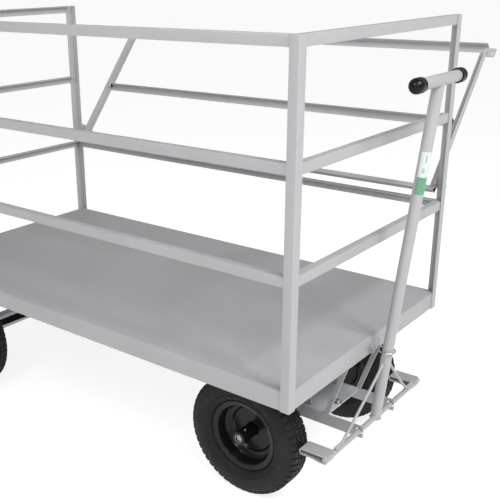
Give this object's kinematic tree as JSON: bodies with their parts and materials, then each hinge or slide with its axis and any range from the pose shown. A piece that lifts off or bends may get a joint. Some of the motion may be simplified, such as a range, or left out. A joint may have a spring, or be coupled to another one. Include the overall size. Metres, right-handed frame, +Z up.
{
  "type": "plant trolley",
  "caption": "Steel plant trolley: flat platform in a cage of angle rails, fold-out side gate, pneumatic tyres, turntable steering and an upright T-handled drawbar.",
  "frame": {"origin": "centre of the whole trolley's bounding box at rest, on the ground", "axes": "+X forwards towards the drawbar, +Y towards the gate side, +Z up"},
  "size_m": [1.9803, 1.3177, 1.443],
  "materials": {
    "grey_paint": "light grey powder coat, satin",
    "frame_paint": "grey powder coat on the underframe, satin",
    "black_enamel": "gloss black enamel",
    "tyre_rubber": "satin black rubber",
    "black_plastic": "glossy black",
    "zinc_steel": "bright zinc plate"
  },
  "bodies": {
    "chassis": {"deck": "grey_paint", "hinge_plate_front": "grey_paint", "hinge_plate_rear": "grey_paint", "keeper_lug": "grey_paint", "kingpin": "zinc_steel", "post_front_far": "grey_paint", "post_front_near": "grey_paint", "post_rear_far": "grey_paint", "post_rear_near": "grey_paint", "rail_far_lower": "grey_paint", "rail_front_lower": "grey_paint", "rail_front_mid": "grey_paint", "rail_front_top": "grey_paint", "rail_near_lower": "grey_paint", "rail_near_mid": "grey_paint", "rail_near_top": "grey_paint", "rail_rear_lower": "grey_paint", "rail_rear_mid": "grey_paint", "rail_rear_top": "grey_paint", "rear_axle": "frame_paint", "rear_brace_far": "black_enamel", "rear_brace_near": "black_enamel", "rear_bracket_far": "frame_paint", "rear_bracket_near": "frame_paint", "turntable_carrier": "frame_paint", "turntable_upper_ring": "frame_paint"},
    "fore_carriage": {"bolster": "frame_paint", "turntable_lower_ring": "frame_paint", "base_plate": "frame_paint", "front_axle": "frame_paint", "tow_bar_near": "grey_paint", "tow_bar_far": "grey_paint", "strut_near": "grey_paint", "strut_far": "grey_paint"},
    "drawbar": {"drawbar_tube": "grey_paint", "handle_grip": "grey_paint", "handle_cap_near": "black_plastic", "handle_cap_far": "black_plastic", "crossbar": "grey_paint", "brace_near": "grey_paint", "brace_far": "grey_paint", "brake_shoe_near": "grey_paint", "brake_shoe_far": "grey_paint"},
    "keeper": {"keeper_hook": "zinc_steel"},
    "side_gate": {"gate_bar_front": "grey_paint", "gate_bar_rear": "grey_paint", "gate_pin_front": "zinc_steel", "gate_pin_rear": "zinc_steel", "gate_rail_bottom": "grey_paint", "gate_rail_mid": "grey_paint", "gate_rail_top": "grey_paint"},
    "wheel_front_near": {"tyre_front_near": "tyre_rubber", "rim_front_near": "black_enamel"},
    "wheel_front_far": {"tyre_front_far": "tyre_rubber", "rim_front_far": "black_enamel"},
    "wheel_rear_near": {"tyre_rear_near": "tyre_rubber", "rim_rear_near": "black_enamel"},
    "wheel_rear_far": {"tyre_rear_far": "tyre_rubber", "rim_rear_far": "black_enamel"}
  },
  "joints": [
    {"name": "wheel_front_near_spin", "type": "hinge", "parent": "fore_carriage", "child": "wheel_front_near", "pos_m": [0.56277, -0.47562, 0.2], "axis": [0, 1, 0], "continuous": true},
    {"name": "wheel_front_far_spin", "type": "hinge", "parent": "fore_carriage", "child": "wheel_front_far", "pos_m": [0.56277, 0.11938, 0.2], "axis": [0, 1, 0], "continuous": true},
    {"name": "wheel_rear_near_spin", "type": "hinge", "parent": "chassis", "child": "wheel_rear_near", "pos_m": [-0.75923, -0.57812, 0.2], "axis": [0, 1, 0], "continuous": true},
    {"name": "wheel_rear_far_spin", "type": "hinge", "parent": "chassis", "child": "wheel_rear_far", "pos_m": [-0.75923, 0.22188, 0.2], "axis": [0, 1, 0], "continuous": true},
    {"name": "steer", "type": "hinge", "parent": "chassis", "child": "fore_carriage", "pos_m": [0.56277, -0.17812, 0.43], "axis": [0, 0, 1], "range_deg": [-25, 25]},
    {"name": "drawbar_tilt", "type": "hinge", "parent": "fore_carriage", "child": "drawbar", "pos_m": [0.85277, -0.17812, 0.22], "axis": [0, 1, 0], "range_deg": [0, 75]},
    {"name": "gate_fold", "type": "hinge", "parent": "chassis", "child": "side_gate", "pos_m": [-0.06498, 0.31988, 0.875], "axis": [1, 0, 0], "range_deg": [0, 39.6]},
    {"name": "keeper_lift", "type": "hinge", "parent": "chassis", "child": "keeper", "pos_m": [0.83277, -0.19062, 0.458], "axis": [0, -1, 0], "range_deg": [0, 7]}
  ]
}
